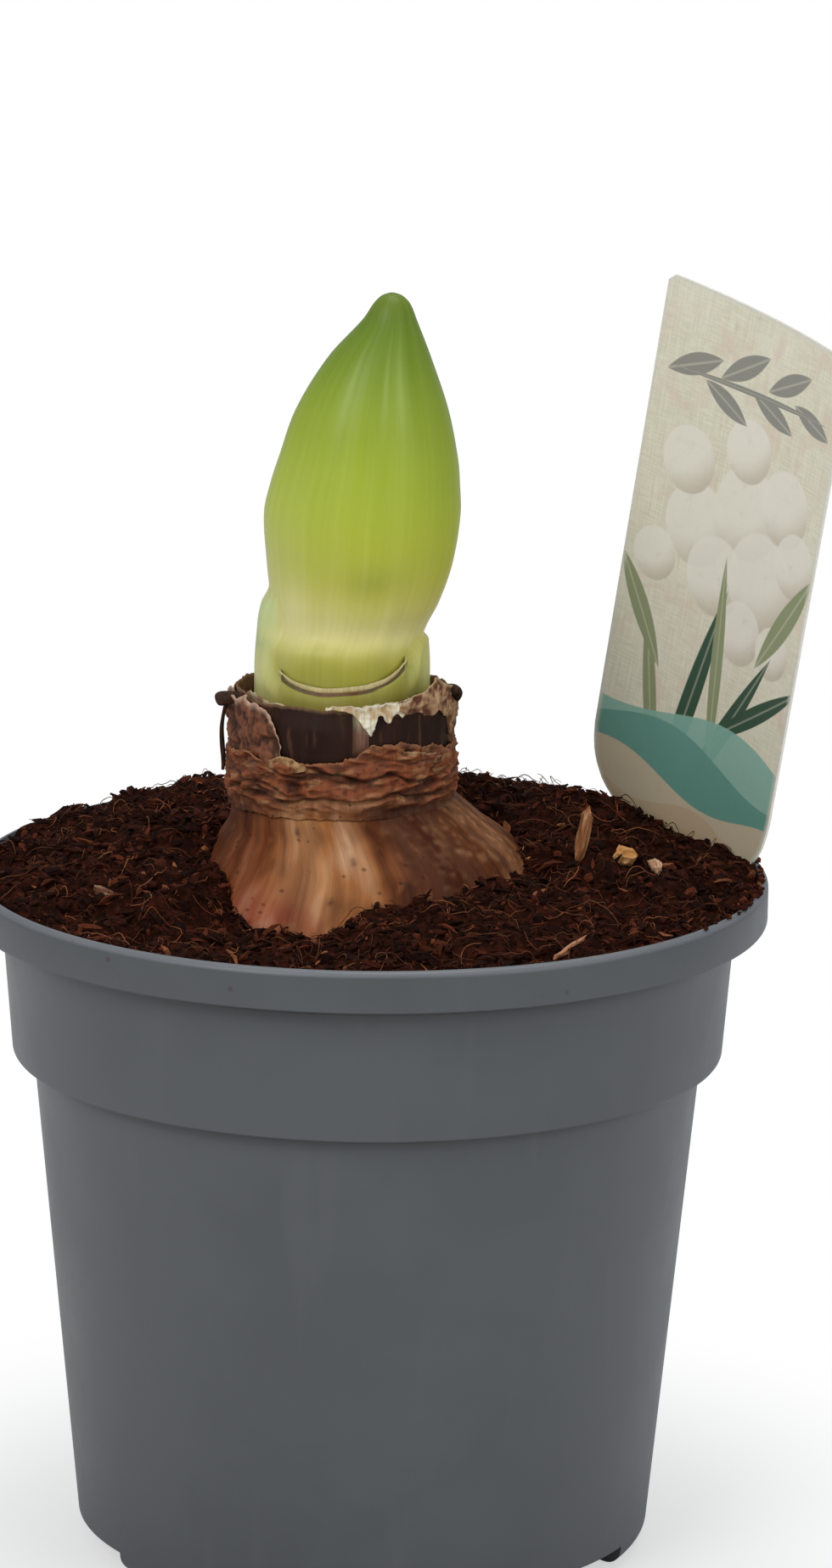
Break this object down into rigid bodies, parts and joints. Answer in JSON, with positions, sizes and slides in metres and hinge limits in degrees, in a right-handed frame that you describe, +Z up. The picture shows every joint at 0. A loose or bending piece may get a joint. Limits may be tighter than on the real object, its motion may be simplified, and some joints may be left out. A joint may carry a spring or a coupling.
{
  "type": "potted amaryllis",
  "caption": "Amaryllis bulb sprouting a plump green flower bud in a round grey nursery pot of potting mix, with a stick-in plant label.",
  "frame": {"origin": "centre of the pot's base, on the surface it stands on", "axes": "+Z up through the pot; -Y is the front, where the bulb shows most; the plant label stands at +X, a little behind the middle"},
  "size_m": [0.1408, 0.13, 0.2071],
  "materials": {
    "pot_plastic": "satin grey moulded plastic",
    "potting_mix": "matte, loose fibres",
    "bulb_skin": "satin papery skin",
    "pale_scale": "matte, dry",
    "dark_scale": "satin, dry",
    "dry_scale": "matte, wrinkled",
    "leaf_green": "satin, waxy",
    "bud_green": "satin, waxy",
    "label_card": "satin printed plastic card",
    "bark": "matte, broken bark"
  },
  "bodies": {
    "root": {"pot": "pot_plastic", "soil": "potting_mix", "bulb": "bulb_skin", "pale_neck_scale": "pale_scale", "dark_inner_tunic": "dark_scale", "wrinkled_outer_tunic": "dry_scale", "left_skin_flap": "dry_scale", "left_torn_strip": "dry_scale", "right_skin_flap": "dry_scale", "back_skin_flap": "dry_scale", "leaf_sheath": "leaf_green", "sheath_membrane": "pale_scale", "flower_stem": "bud_green", "flower_bud": "bud_green", "plant_label": "label_card", "bark_chip_1": "bark", "bark_chip_2": "bark", "bark_chip_3": "bark", "bark_chip_4": "bark", "bark_chip_5": "bark", "bark_chip_6": "bark"}
  },
  "joints": []
}
